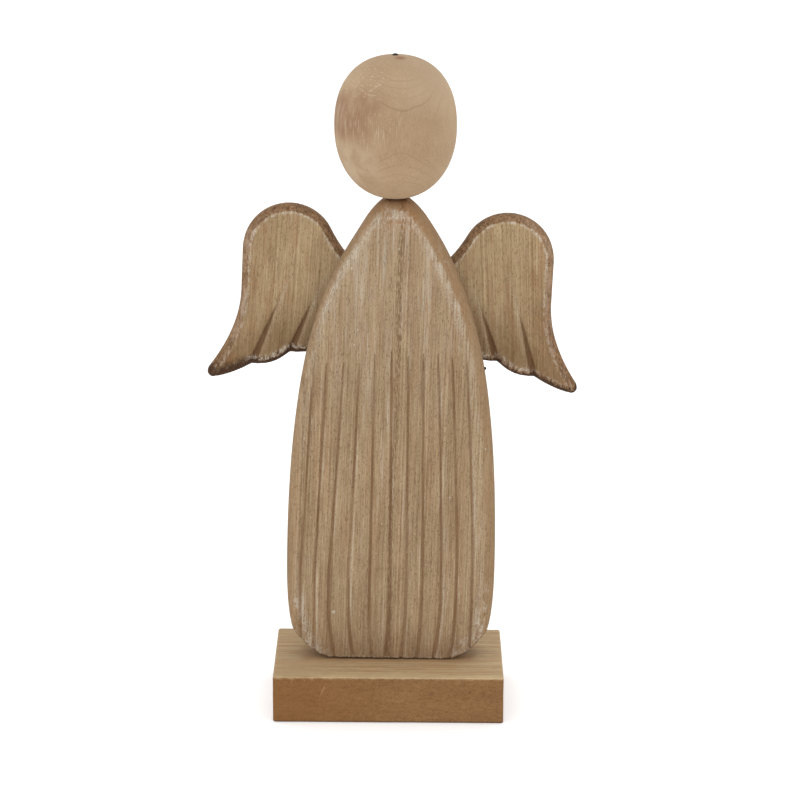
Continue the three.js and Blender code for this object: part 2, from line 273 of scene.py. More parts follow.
top_face = coat(tree, BASE_TOP_BROWN, BASE_TOP_PALE, top_level)
top_face = coat(tree, top_face, BASE_TOP_BROWN, fade(tree, here_x, -20, -42), 0.22)
streaked = fade(tree, noise(tree, place, (0.8, 0.8, 0.02), 3, 0.65), 0.44, 0.62)
streaked = product(tree, streaked, fade(tree, soaked, 0.3, 0.58), fade(tree, here_y, -29, -23), 0.6)
# Painted shadow: the top is darkened with the streak colour in a band round the robe's foot.
off_x = sums(tree, "SUBTRACT", sums(tree, "ABSOLUTE", here_x), ROBE_FOOT_HALVES[0])
off_y = sums(tree, "SUBTRACT", sums(tree, "ABSOLUTE", here_y), ROBE_FOOT_HALVES[1])
robe_foot_shadow = product(tree, fade(tree, sums(tree, "MAXIMUM", off_x, off_y), 6, 0), 0.5)
top_face = coat(tree, top_face, BASE_STREAK_AND_SHADOW, sums(tree, "MAXIMUM", streaked, robe_foot_shadow))
side_level = blend(tree, (mottle, 0.8), (soaked, 0.35), (speckle, 0.85), (fibres, 0.25))
side_face = coat(tree, BASE_SIDE_BROWN, BASE_SIDE_PALE, side_level)
side_face = coat(tree, side_face, BASE_SIDE_BROWN, pores, 0.3)
side_face = coat(tree, side_face, BASE_RUDDY, fade(tree, here_x, 10, -40), 0.3)
side_face = coat(tree, side_face, BASE_SIDE_BROWN, fade(tree, here_x, 0, -48), 0.16)
slanted = wood_space(tree, turn=(0, math.radians(-20), 0))
scratches = fade(tree, noise(tree, slanted, (0.7, 0.7, 0.1), 1), 0.66, 0.8)
side_face = coat(tree, side_face, BASE_TOP_PALE, scratches, fade(tree, here_x, -10, -30), 0.16)
top_height = base_high.z / MM
colour = coat(tree, side_face, top_face, fade(tree, here_z, top_height - 0.9, top_height - 0.3))
rubbed = product(tree, fade(tree, mottle, 0.4, 0.65), fade(tree, here_z, top_height - 1.6, top_height - 0.7))
rubbed = product(tree, rubbed, fade(tree, here_z, top_height - 0.1, top_height - 0.5))
colour = coat(tree, colour, BASE_TOP_PALE, rubbed, 0.2)
# Painted shadow: a dark line along the bottom edge of the block, where it stands on the floor.
colour = coat(tree, colour, BASE_FOOT_SHADOW, fade(tree, here_z, 1.2, 0.2), 0.8)
height = sums(tree, "MULTIPLY_ADD", fibres, 0.5, mottle)
finish_shader(tree, colour, fade(tree, mottle, -0.9, 1.4), height, 0.1 * MM, 0.12)
hand_over(base, base_stain, "base_wood", "base_block")

# Robe board
# A flat board sawn to the robe's bell outline and routed round, then sawn across, so that its hem is
# square. The pleats are spaced by eye and run down the face with a V-gouge, out through the hem.
# Lime rubbed into the grain is left where the cloth missed it.
ROBE_THICKNESS = 18
ROBE_ROUND_OVER = 5
ROBE_HEM = [(24.5, 0), (32, 0), (39.5, 8.4), (43, 13)]
ROBE_SIDE = [(43, 13), (44.25, 17.85), (45.4, 26), (45.4, 42)]
ROBE_SWEEP = [(45.4, 42), (45.4, 145), (27.8, 171.9), (14, 194)]
ROBE_NECK = [(14, 194), (11.1, 198.6), (7.9, 202.3), (4.2, 204.5)]
ROBE_WASTE_END = (38.1, -6)
HEM_ROWS, SIDE_ROWS, SWEEP_ROWS, NECK_ROWS = 40, 16, 108, 12
SAW_DRIFT, DRIFT_LEVEL, DRIFT_SPREAD = 0.45, 187, 13
HEM_EASED, HEM_RAGGED, HEM_FADE = 0.9, 0.5, 3
HEM_WAVES, HEM_WAVE_START = (2.1, 0.8), 1
GLUE_BEAD, GLUE_BEAD_RADIUS = Vector((39.1, -1.0, 130.5)), 0.7
FACE_TOLERANCE = 0.3
PLEAT_COLUMNS, PLEAT_CROWDING = 14, 0.55
MARGIN_COLUMNS, MARGIN_CROWDING = 13, 1.4
PLEAT_MARGIN, PLEAT_MARGIN_SHARE = 3, 0.4
# Each pleat: the height of its top, and its place across near the top, at the hip and at the hem
PLEATS = [
    (124.0, -34.8, -39.4, -38.6),
    (134.6, -29.0, -33.3, -33.0),
    (134.7, -21.7, -27.0, -24.3),
    (134.7, -14.9, -18.5, -15.9),
    (138.3, -8.3, -9.1, -8.0),
    (140.1, -1.0, -0.4, -1.9),
    (137.7, 6.1, 6.8, 5.1),
    (137.8, 12.7, 13.7, 11.7),
    (138.8, 19.2, 21.9, 19.2),
    (137.2, 25.3, 28.7, 26.2),
    (135.9, 31.5, 35.6, 34.5),
]
PLEAT_TOP, PLEAT_HIP, PLEAT_BEND = 130, 40, 30
PLEAT_DEPTH, PLEAT_HALF_WIDTH, PLEAT_RUN_IN = 0.6, 0.75, 9
PLEAT_SPREAD, PLEAT_SPREAD_LEVEL = 0.5, 70
PLEAT_BLUNTNESS, PLEAT_START_WIDTH = 0.2, 0.6
PLEAT_WAVER, PLEAT_WAVE = 0.1, 9
PLEAT_BOW_LEFT, PLEAT_BOW_RIGHT, BOW_CHANGE = 0.9, 1.5, -5
GOUGE_SHARPNESS = 1.3
LIP_OFFSET, LIP_WIDTH = 0.95, 0.35


def bezier(handles, steps):
    """Points along a curve that is drawn by its handles"""
    t = np.linspace(0, 1, steps + 1)[:, None]
    points = [np.array(handle, float) + 0 * t for handle in handles]
    while len(points) > 1:
        points = [a + (b - a) * t for a, b in zip(points, points[1:])]
    return points[0]


def nearest_edge(outline, spots):
    """Each spot's distance from an outline, the nearest point on it and the way inwards from there"""
    start = outline
    along = np.roll(outline, -1, axis=0) - start
    length = np.maximum(np.linalg.norm(along, axis=1), 1e-9)
    inwards = np.stack([-along[:, 1], along[:, 0]], axis=1) / length[:, None]
    distances, feet, ways = [], [], []
    for batch in np.array_split(spots, max(1, len(spots) // 3000)):
        offset = batch[:, None, :] - start[None]
        t = np.clip((offset * along[None]).sum(2) / length[None] ** 2, 0, 1)
        gap = np.linalg.norm(offset - along[None] * t[:, :, None], axis=2)
        nearest = gap.argmin(1)
        each = np.arange(len(batch))
        distances.append(gap[each, nearest])
        feet.append(start[nearest] + along[nearest] * t[each, nearest][:, None])
        ways.append(inwards[nearest])
    return np.concatenate(distances), np.concatenate(feet), np.concatenate(ways)


def crowded(steps, crowding):
    """Even steps from 0 to 1, crowded towards both ends"""
    t = np.arange(steps) / steps
    return t - crowding * np.sin(2 * np.pi * t) / (2 * np.pi)


def mesh_spots(piece):
    """Where the points of a mesh are, in millimetres"""
    spots = np.zeros(len(piece.data.vertices) * 3)
    piece.data.vertices.foreach_get("co", spots)
    return spots.reshape(-1, 3) / MM


def move_mesh(piece, spots):
    """Moves the points of a mesh to new spots, in millimetres"""
    piece.data.vertices.foreach_set("co", (spots * MM).ravel())
    piece.data.update()


def thickened(piece, spots, thickness):
    """Lays a flat sheet out by its spots and gives it its thickness"""
    flat = np.full((len(spots), 3), -thickness / 2)
    flat[:, [0, 2]] = spots
    move_mesh(piece, flat)
    bpy.ops.object.mode_set(mode="EDIT")
    bpy.ops.mesh.select_all(action="SELECT")
    bpy.ops.mesh.remove_doubles(threshold=0.01 * MM)
    bpy.ops.mesh.extrude_region_move(TRANSFORM_OT_translate={"value": (0, thickness * MM, 0)})
    bpy.ops.mesh.select_all(action="SELECT")
    bpy.ops.mesh.normals_make_consistent(inside=False)
    bpy.ops.object.mode_set(mode="OBJECT")


def sawn_board(name, sheet, thickness):
    """A board of even thickness from a sheet of spots, its rows up the board and its columns across"""
    rows, columns = sheet.shape[:2]
    bpy.ops.object.select_all(action="DESELECT")
    bpy.ops.mesh.primitive_grid_add(x_subdivisions=columns - 1, y_subdivisions=rows - 1, size=1)
    piece = named(name)
    thickened(piece, sheet.reshape(-1, 2), thickness)
    return piece


def carved_board(piece, outline, thickness, round_over, groove_depth):
    """Routs both edges of a board round and carves its face. Returns each point's distance from the edge"""
    spots = mesh_spots(piece)
    rim, feet, inwards = nearest_edge(outline, spots[:, [0, 2]])
    across, down = round_over
    flat = np.abs(spots[:, 1]) > thickness / 2 - FACE_TOLERANCE
    front = flat & (spots[:, 1] < 0)
    lean = np.clip(1 - rim / across, 0, 1)
    level = np.sqrt(1 - lean**2)
    depth = groove_depth * front * (1 - 0.5 * lean)
    face = thickness / 2 - down * (1 - level) - depth * level
    edge = spots[:, 1] * (1 - 2 * down / thickness)
    spots[:, 1] = np.where(flat, np.where(front, -face, face), edge)
    spots[:, [0, 2]] = np.where(flat[:, None], spots[:, [0, 2]] + inwards * (depth * lean)[:, None], feet)
    move_mesh(piece, spots)
    return np.where(flat, rim, 0)


def mark(piece, name, values):
    """Keeps a value at each point of the mesh for the finish to follow"""
    attribute = piece.data.attributes.new(name, "FLOAT", "POINT")
    attribute.data.foreach_set("value", np.asarray(values, np.float32))


def marked(tree, name):
    """A value that was kept at each point of the mesh"""
    return add_node(tree, "Attribute", {}, attribute_name=name).outputs["Fac"]


def pleat_across(pleat, height):
    """Where a pleat lies across the board at a height"""
    at_top, at_hip, at_hem = pleat[1:]
    bow = PLEAT_BOW_LEFT if at_hip < BOW_CHANGE else PLEAT_BOW_RIGHT
    rise = np.clip((height - PLEAT_HIP) / (PLEAT_TOP - PLEAT_HIP), 0, None) ** bow
    fall = np.clip(1 - height / PLEAT_BEND, 0, 1) ** 2
    return at_hip + (at_top - at_hip) * rise + (at_hem - at_hip) * fall


def gouged(aside, half):
    """The hollow of a gouge cut, 1 along its middle and 0 at its lips"""
    return np.cos(np.pi / 2 * np.clip(np.abs(aside) / half, 0, 1)) ** GOUGE_SHARPNESS


def pleat_carving(spots):
    """How deep the pleats are cut at each spot of the face, and where their right lips are rubbed pale"""
    depth = np.zeros(len(spots))
    lip = np.zeros(len(spots))
    for pleat in PLEATS:
        aside = spots[:, 0] - pleat_across(pleat, spots[:, 1])
        run_in = np.clip((pleat[0] - spots[:, 1]) / PLEAT_RUN_IN, 0, 1)
        waver = 1 - PLEAT_WAVER + PLEAT_WAVER * np.sin(spots[:, 1] / PLEAT_WAVE + pleat[1])
        cut = run_in**PLEAT_BLUNTNESS * waver
        spread = 1 + PLEAT_SPREAD * np.clip(1 - spots[:, 1] / PLEAT_SPREAD_LEVEL, 0, 1)
        half = PLEAT_HALF_WIDTH * (PLEAT_START_WIDTH + (1 - PLEAT_START_WIDTH) * run_in) * spread
        depth = np.maximum(depth, PLEAT_DEPTH * cut * gouged(aside, half))
        lip = np.maximum(lip, np.sqrt(run_in) * np.exp(-(((aside - LIP_OFFSET * spread) / LIP_WIDTH) ** 2)))
    return depth, lip


hem_side = bezier(ROBE_HEM, HEM_ROWS)
upper_side = np.vstack([bezier(ROBE_SIDE, SIDE_ROWS), bezier(ROBE_SWEEP, SWEEP_ROWS)[1:]])
upper_side = np.vstack([upper_side, bezier(ROBE_NECK, NECK_ROWS)[1:]])
hem_line = np.vstack([hem_side[::-1], hem_side * (-1, 1)])
hem_edge = np.vstack([hem_line, hem_line[::-1]])
blank_side = np.vstack([[ROBE_WASTE_END], upper_side])
blank_outline = np.vstack([blank_side, (blank_side * (-1, 1))[::-1]])
robe_half, robe_level = np.vstack([hem_side, upper_side[1:]]).T
blank_half = np.interp(robe_level, blank_side[:, 1], blank_side[:, 0])
pleat_lines = np.stack([pleat_across(pleat, robe_level) for pleat in PLEATS], axis=1)
reach = blank_half - np.minimum(PLEAT_MARGIN, PLEAT_MARGIN_SHARE * blank_half)
left_squeeze = np.minimum(1, reach / np.abs(pleat_lines[:, 0]))
right_squeeze = np.minimum(1, reach / np.abs(pleat_lines[:, -1]))
squeeze = np.where(pleat_lines < 0, left_squeeze[:, None], right_squeeze[:, None])
pleat_lines = np.clip(pleat_lines * squeeze, -robe_half[:, None], robe_half[:, None])
stations = np.column_stack([-robe_half, pleat_lines, robe_half])
margin_steps = (np.arange(MARGIN_COLUMNS) / MARGIN_COLUMNS) ** MARGIN_CROWDING
interval_steps = [margin_steps] + [crowded(PLEAT_COLUMNS, PLEAT_CROWDING)] * (len(PLEATS) - 1)
interval_steps.append(np.sort(1 - np.append(margin_steps[1:], 1)))
columns = [
    stations[:, [i]] + (stations[:, [i + 1]] - stations[:, [i]]) * steps
    for i, steps in enumerate(interval_steps)
]
columns.append(stations[:, [-1]])
robe_columns = np.hstack(columns)
robe_sheet = np.dstack([robe_columns, np.broadcast_to(robe_level[:, None], robe_columns.shape)])
robe = sawn_board("robe_board_carved", robe_sheet, ROBE_THICKNESS)
robe_spots = mesh_spots(robe)
pleat_depth, pleat_lip = pleat_carving(robe_spots[:, [0, 2]])
on_face = robe_spots[:, 1] < 0
robe_rim = carved_board(robe, blank_outline, ROBE_THICKNESS, (ROBE_ROUND_OVER, ROBE_ROUND_OVER), pleat_depth)
hem_gap = nearest_edge(hem_edge, robe_spots[:, [0, 2]])[0]
fine_wave = np.sin(HEM_WAVES[0] * robe_spots[:, 0])
slow_wave = np.sin(HEM_WAVES[1] * robe_spots[:, 0] + HEM_WAVE_START)
ragged = 1 + HEM_RAGGED * fine_wave * slow_wave
eased = HEM_EASED * ragged * np.clip(robe_rim / HEM_FADE, 0.01, 1)
curl = np.clip(1 - hem_gap / eased, 0, 1)
robe_spots = mesh_spots(robe)
robe_spots[:, 1] -= np.sign(robe_spots[:, 1]) * eased * (1 - np.sqrt(1 - curl**2))
robe_spots[:, 0] += SAW_DRIFT * np.exp(-(((robe_spots[:, 2] - DRIFT_LEVEL) / DRIFT_SPREAD) ** 2))
move_mesh(robe, robe_spots)
mark(robe, "rim", robe_rim)
mark(robe, "hem", hem_gap)
mark(robe, "carved", (pleat_depth * on_face / PLEAT_DEPTH) ** 0.7)
mark(robe, "lip", pleat_lip * on_face)
only(robe)
bpy.ops.object.mode_set(mode="EDIT")
bpy.ops.mesh.primitive_uv_sphere_add(
    segments=16,
    ring_count=10,
    radius=GLUE_BEAD_RADIUS * MM,
    location=GLUE_BEAD * MM,
)
bpy.ops.object.mode_set(mode="OBJECT")
mark(robe, "bead", np.arange(len(robe.data.vertices)) >= len(robe_spots))
fixed_in_place(robe, figure_place)
smoothed(robe, 50)


def from_axis(tree, x, y, axis):
    """Distance from a line along the third axis"""
    off_x, off_y = sums(tree, "SUBTRACT", x, axis[0]), sums(tree, "SUBTRACT", y, axis[1])
    return sums(tree, "SQRT", sums(tree, "ADD", product(tree, off_x, off_x), product(tree, off_y, off_y)))


def finish_limed(tree, colour, fibres, pores, patchy):
    """Dull open-grained wood: raised fibres, sunken pores and a patchy sheen"""
    height = sums(tree, "SUBTRACT", sums(tree, "MULTIPLY", fibres, 0.8), sums(tree, "MULTIPLY", pores, 0.5))
    finish_shader(tree, colour, fade(tree, patchy, -1.0, 1.0), height, 0.15 * MM, 0.12)


ROBE_BROWN = stain(92, 64, 38)
ROBE_PALE = stain(188, 164, 131)
ROBE_PORE = stain(80, 56, 34)
ROBE_BAND = stain(142, 112, 80)
ROBE_GROOVE = stain(110, 77, 49)
ROBE_HEART = stain(98, 72, 46)
ROBE_RUDDY = stain(150, 104, 64)
DRIED_GLUE = stain(60, 45, 32)
LIME = stain(194, 184, 169)
GRAIN_SLANT = math.radians(-1.6)
HEART_ACROSS = -1.4
LIME_DAB = (-24.2, 43.0)
robe_finish, tree = open_material("limed_open_grain")
place = wood_space(tree, turn=(0, GRAIN_SLANT, 0), shift=(3, 20, -60))
layers, fibres, pores, speckle = grain(tree, place, 0.85, 0.4, 5)
here_x, _, here_z = split(tree, wood_space(tree))
rim, hem, carved, lip, bead = [marked(tree, name) for name in ("rim", "hem", "carved", "lip", "bead")]
tone = noise(tree, place, (0.16, 0.16, 0.02), 3, 0.6)
patchy = noise(tree, place, (0.16, 0.16, 0.09), 3, 0.6)
bands = noise(tree, place, (0.4, 0.4, 0.01), 2, 0.6)
level = blend(tree, (layers, 0.5), (fibres, 0.7), (speckle, 0.55), (tone, 0.35), (bands, 0.4), (patchy, 0.25))
colour = coat(tree, ROBE_BROWN, ROBE_PALE, level)
ruddy = fade(tree, noise(tree, place, (0.22, 0.22, 0.02), 2, 0.6), 0.48, 0.66)
colour = coat(tree, colour, ROBE_RUDDY, ruddy, 0.14)
streaks = noise(tree, place, (0.5, 0.5, 0.03), 3, 0.65)
above = fade(tree, here_z, 110, 190)
washed = sums(tree, "MULTIPLY_ADD", fade(tree, streaks, 0.5, 0.72), 0.34, 0.04)
colour = coat(tree, colour, LIME, washed, above)
threads = fade(tree, noise(tree, place, (1.5, 1.5, 0.025), 2, 0.6), 0.58, 0.74)
colour = coat(tree, colour, LIME, threads, fade(tree, tone, 0.4, 0.6), 0.45)
right_half = fade(tree, here_x, -4, 4)
leaner = sums(tree, "MULTIPLY_ADD", right_half, -2.4, 3.0)
edge = sums(tree, "MULTIPLY_ADD", fade(tree, here_z, 100, 150), leaner, rim)
routed = product(tree, fade(tree, edge, 5.2, 3.4), sums(tree, "MULTIPLY_ADD", above, 0.25, 0.45))
routed = product(tree, routed, sums(tree, "MULTIPLY_ADD", right_half, 0.4, 0.6))
colour = coat(tree, colour, ROBE_BAND, routed)
colour = coat(tree, colour, ROBE_PORE, pores, 0.55)
sway = product(tree, sums(tree, "SUBTRACT", noise(tree, place, (0.1, 0.1, 0.025), 2), 0.5), 3)
heart = sums(tree, "ADD", sums(tree, "SUBTRACT", split(tree, place)[0], HEART_ACROSS + 3), sway)
dashes = fade(tree, noise(tree, place, (2.0, 2.0, 0.35), 2), 0.36, 0.6)
heart = product(tree, fade(tree, sums(tree, "ABSOLUTE", heart), 2.0, 0.3), dashes)
heart = product(tree, heart, sums(tree, "MULTIPLY_ADD", above, 0.1, 0.6))
colour = coat(tree, colour, ROBE_HEART, heart)
inner = sums(tree, "MULTIPLY_ADD", sums(tree, "SUBTRACT", patchy, 0.5), 5, edge)
line = product(tree, fade(tree, inner, 4.2, 5.4), fade(tree, inner, 9.5, 5.8))
right_edge = sums(tree, "MULTIPLY_ADD", fade(tree, here_z, 150, 185), 0.5, 0.3)
right_edge = product(tree, fade(tree, here_x, 2, 10), right_edge)
left_edge = product(tree, fade(tree, here_x, -2, -10), fade(tree, here_z, 115, 150), 0.5)
corners = product(tree, fade(tree, here_z, 60, 40), fade(tree, sums(tree, "ABSOLUTE", here_x), 23, 32))
ends = sums(tree, "MAXIMUM", product(tree, fade(tree, here_z, 150, 195), 0.7), corners)
patches = product(tree, fade(tree, tone, 0.44, 0.58), sums(tree, "MULTIPLY_ADD", ends, 0.75, 0.25))
scratched = fade(tree, noise(tree, place, (1.3, 1.3, 0.1), 3, 0.65), 0.4, 0.6)
chalky = sums(tree, "MAXIMUM", scratched, product(tree, corners, fade(tree, patchy, 0.4, 0.55), 0.8))
patches = sums(tree, "MAXIMUM", patches, sums(tree, "MAXIMUM", right_edge, left_edge))
smear = product(tree, fade(tree, edge, 4.0, 5.2), fade(tree, edge, 8.5, 6.0), fade(tree, here_z, 165, 182))
rubbed_in = fade(tree, noise(tree, place, (0.3, 0.3, 0.2), 3, 0.6), 0.42, 0.6)
smear = product(tree, smear, rubbed_in, 0.7)
low_edge = sums(tree, "MINIMUM", rim, sums(tree, "ADD", hem, 1.5))
low_smear = product(tree, fade(tree, low_edge, 1.8, 3.0), fade(tree, low_edge, 8.5, 5.5), corners, rubbed_in)
smear = sums(tree, "MAXIMUM", smear, low_smear)
limed = sums(tree, "MAXIMUM", product(tree, line, patches, chalky), smear)
powder = blend(tree, (speckle, 1.8), (fibres, 1.4))
colour = coat(tree, colour, LIME, limed, fade(tree, powder, 0.1, 0.8), 0.85)
rubbed = product(tree, lip, fade(tree, tone, 0.46, 0.62), fade(tree, powder, 0.0, 0.8), 0.5)
colour = coat(tree, colour, LIME, rubbed)
flecks = fade(tree, noise(tree, place, (0.55, 0.55, 0.45), 0), 0.84, 0.88)
dab = fade(tree, from_axis(tree, here_x, here_z, LIME_DAB), 1.0, 0.4)
colour = coat(tree, colour, LIME, sums(tree, "MAXIMUM", flecks, dab), 0.6)
neck = fade(tree, here_z, 208, 220)
colour = coat(tree, colour, ROBE_RUDDY, neck, fade(tree, patchy, 0.3, 0.6), 0.4)
crumbs = product(tree, fade(tree, noise(tree, place, (1.1, 1.1, 0.5), 4, 0.7), 0.46, 0.66), neck)
crumbs = product(tree, crumbs, fade(tree, rim, 1.5, 4.5), fade(tree, here_z, 226, 220), 0.65)
colour = coat(tree, colour, LIME, crumbs)
worn_off = sums(tree, "MULTIPLY_ADD", fade(tree, streaks, 0.35, 0.65), -0.3, 0.68)
colour = coat(tree, colour, ROBE_GROOVE, fade(tree, carved, 0.05, 0.85), worn_off)
# Browner towards the hem, in patches.
browner_low = product(tree, fade(tree, here_z, 38, 22), fade(tree, patchy, 0.3, 0.6), 0.3)
colour = coat(tree, colour, ROBE_GROOVE, browner_low)
torn = fade(tree, noise(tree, place, (0.9, 0.9, 0.5), 2), 0.5, 0.62)
colour = coat(tree, colour, LIME, fade(tree, hem, 1.7, 0.4), torn, 0.6)
colour = coat(tree, colour, ROBE_PORE, fade(tree, hem, 0.5, 0.1), 0.5)
colour = coat(tree, colour, DRIED_GLUE, bead)
finish_limed(tree, colour, fibres, pores, patchy)
hand_over(robe, robe_finish, "robe_wood", "robe_board")

# Wings
# Two boards sawn to one outline, turned over for the left, and glued and bradded to the robe's back.
# Each edge is routed round, two gouge cuts part its three feathers, and the sawn lower edges are
# scorched dark, with painted shade on their undersides. Lime stays in a broken line along the inside of the
# round-over.
WING_THICKNESS = 8
WING_ROUND_OVER = (3.0, 2.2)
WING_FINENESS = 0.55 * MM
WING_SEAM, SEAM_FOOT, SEAM_HEAD = 0.15, 12, 32
SHOULDER, SHOULDER_RADIUS, SHOULDER_START = np.array([47, 49]), 20, math.radians(152)
SHOULDER_BOW = 19.7
WING_SIDE_FOOT, WING_FLARE = 31, 13.2
WING_TIP, WING_TIP_RADIUS = np.array([83.3, -9.8]), 2.4
FEATHER_END = (28, 10)
FEATHER_BELLIES = [[(70.5, -7.7)], [(52.2, -2.7), (48.5, 1.0)], [(38, 3.7), (33.5, 4.0)]]
FEATHER_NOTCHES = [(61.4, -2.2), (45, 3.8)]
FEATHER_RISES = {"left": [(-12, 32.5), (-9.6, 25.5)], "right": [(-9, 32), (-9, 26)]}
FEATHER_DEPTH, FEATHER_HALF_WIDTH, FEATHER_TAPER = 1.4, 2.0, 0.7
FEATHER_LIP_OFFSET, FEATHER_LIP_WIDTH = 0.6, 0.7
FEATHER_TOP_RUB, FEATHER_SIDE_RUB = 7, 0.4
BRAD_PLACES = {"lower": (20, 18), "upper": (20, 34)}
BRAD_HOLE_RADIUS, BRAD_HOLE_DEPTH = 1.75, 1.1
WINGS_OFF, WINGS_BEHIND, WINGS_UP, WINGS_TILT = -0.4, 9.3, 128.1, math.radians(1.8)
wings_place = (
    figure_place
    @ Matrix.Translation(Vector((WINGS_OFF, WINGS_BEHIND + WING_THICKNESS / 2, WINGS_UP)) * MM)
    @ Matrix.Rotation(WINGS_TILT, 4, "Y")
)


def arc(centre, radius, start, stop, steps):
    """Points round an arc from one angle to another"""
    turn = np.linspace(start, stop, steps + 1)
    return centre + radius * np.column_stack([np.cos(turn), np.sin(turn)])


def heading(vector):
    """The way that a vector points, one long"""
    return vector / np.linalg.norm(vector)


arm = arc(SHOULDER, SHOULDER_RADIUS, SHOULDER_START, 0, 1)[0]
bow = arm + SHOULDER_BOW * np.array([-math.sin(SHOULDER_START), math.cos(SHOULDER_START)])
flare = np.array([SHOULDER[0] + SHOULDER_RADIUS, WING_FLARE])
to_flare, to_belly = heading(flare - WING_TIP), heading(np.array(FEATHER_BELLIES[0][0]) - WING_TIP)
tip_half = math.acos(to_flare @ to_belly) / 2
tip_reach = WING_TIP_RADIUS / math.tan(tip_half)
tip_centre = WING_TIP + heading(to_flare + to_belly) * WING_TIP_RADIUS / math.sin(tip_half)
tip_spots = [WING_TIP + to_flare * tip_reach, WING_TIP + to_belly * tip_reach]
tip_angles = [math.atan2(*(spot - tip_centre)[::-1]) for spot in tip_spots]
wing_top = np.vstack([
    bezier([(WING_SEAM, SEAM_HEAD), bow, arm], 24),
    arc(SHOULDER, SHOULDER_RADIUS, SHOULDER_START, 0, 40)[1:],
    bezier([(SHOULDER[0] + SHOULDER_RADIUS, WING_SIDE_FOOT), flare, tip_spots[0]], 30),
])
wing_bottom = np.vstack([
    [(WING_SEAM, SEAM_FOOT)],
    bezier([FEATHER_NOTCHES[1], *FEATHER_BELLIES[2], FEATHER_END], 14)[::-1],
    bezier([FEATHER_NOTCHES[0], *FEATHER_BELLIES[1], FEATHER_NOTCHES[1]], 20)[-2::-1],
    bezier([FEATHER_NOTCHES[0], *FEATHER_BELLIES[0], tip_spots[1]], 14)[1:],
    arc(tip_centre, WING_TIP_RADIUS, *tip_angles[::-1], 12)[1:-1],
])
wing_outline = np.vstack([wing_bottom, wing_top[::-1]])
feather_edge = np.vstack([wing_bottom, wing_bottom[::-1]])


def feather_carving(spots, rises):
    """How deep the wedge-shaped cuts between the feathers are at each spot, and their pale inner lips"""
    depth = np.zeros(len(spots))
    lip = np.zeros(len(spots))
    for notch, rise in zip(FEATHER_NOTCHES, rises):
        length = np.linalg.norm(rise)
        way = np.array(rise) / length
        offset = spots - notch
        along = offset @ way
        aside = offset @ np.array([way[1], -way[0]])
        taper = np.clip(1 - along / length, 0, 1.1) ** FEATHER_TAPER
        half = np.maximum(FEATHER_HALF_WIDTH * taper, 0.05)
        depth = np.maximum(depth, FEATHER_DEPTH * taper * gouged(aside, half))
        rubbed = np.exp(-(((along - length) / FEATHER_TOP_RUB) ** 2)) + FEATHER_SIDE_RUB * (along < length)
        beside = (aside + half + FEATHER_LIP_OFFSET) / FEATHER_LIP_WIDTH
        lip = np.maximum(lip, rubbed * np.exp(-(beside**2)))
    return depth, lip


def sawn_wing(hand):
    """A right-hand wing with the gouge cuts of either hand, and its two brad holes"""
    bpy.ops.object.select_all(action="DESELECT")
    bpy.ops.mesh.primitive_circle_add(vertices=len(wing_outline), fill_type="NGON")
    wing = named(f"{hand}_wing_carved")
    thickened(wing, wing_outline, WING_THICKNESS)
    worked(wing, "REMESH", mode="VOXEL", voxel_size=WING_FINENESS)
    spots = mesh_spots(wing)
    on_face = spots[:, 1] < FACE_TOLERANCE - WING_THICKNESS / 2
    depth, lip = feather_carving(spots[:, [0, 2]], FEATHER_RISES[hand])
    sawn = nearest_edge(feather_edge, spots[:, [0, 2]])[0]
    rim = carved_board(wing, wing_outline, WING_THICKNESS, WING_ROUND_OVER, depth)
    mark(wing, "rim", rim)
    mark(wing, "carved", depth * on_face / FEATHER_DEPTH)
    mark(wing, "sawn", sawn)
    mark(wing, "lip", lip * on_face)
    for across, up in BRAD_PLACES.values():
        bpy.ops.object.select_all(action="DESELECT")
        bpy.ops.mesh.primitive_cylinder_add(
            vertices=32,
            radius=BRAD_HOLE_RADIUS * MM,
            depth=2 * BRAD_HOLE_DEPTH * MM,
            location=Vector((across, WING_THICKNESS / 2, up)) * MM,
            rotation=(math.pi / 2, 0, 0),
        )
        cut_out(wing, named("brad_hole"))
    return wing


right_wing = sawn_wing("right")
left_wing = sawn_wing("left")
only(left_wing)
bpy.ops.object.mode_set(mode="EDIT")
bpy.ops.mesh.select_all(action="SELECT")
bpy.ops.transform.resize(value=(-1, 1, 1), center_override=(0, 0, 0))
bpy.ops.mesh.normals_make_consistent(inside=False)
bpy.ops.object.mode_set(mode="OBJECT")

WING_BROWN = stain(94, 66, 37)
WING_PALE = stain(196, 172, 135)
WING_PORE = stain(86, 62, 38)
WING_BAND_DARK = stain(78, 52, 30)
WING_BAND_PALE = stain(152, 120, 90)
WING_SCORCH_AND_SHADE = stain(62, 43, 30)
WING_RUDDY = stain(132, 86, 52)
WING_GROOVE = stain(92, 63, 40)
WING_BLOOM = stain(170, 149, 128)
WING_CRUMB = stain(184, 158, 126)


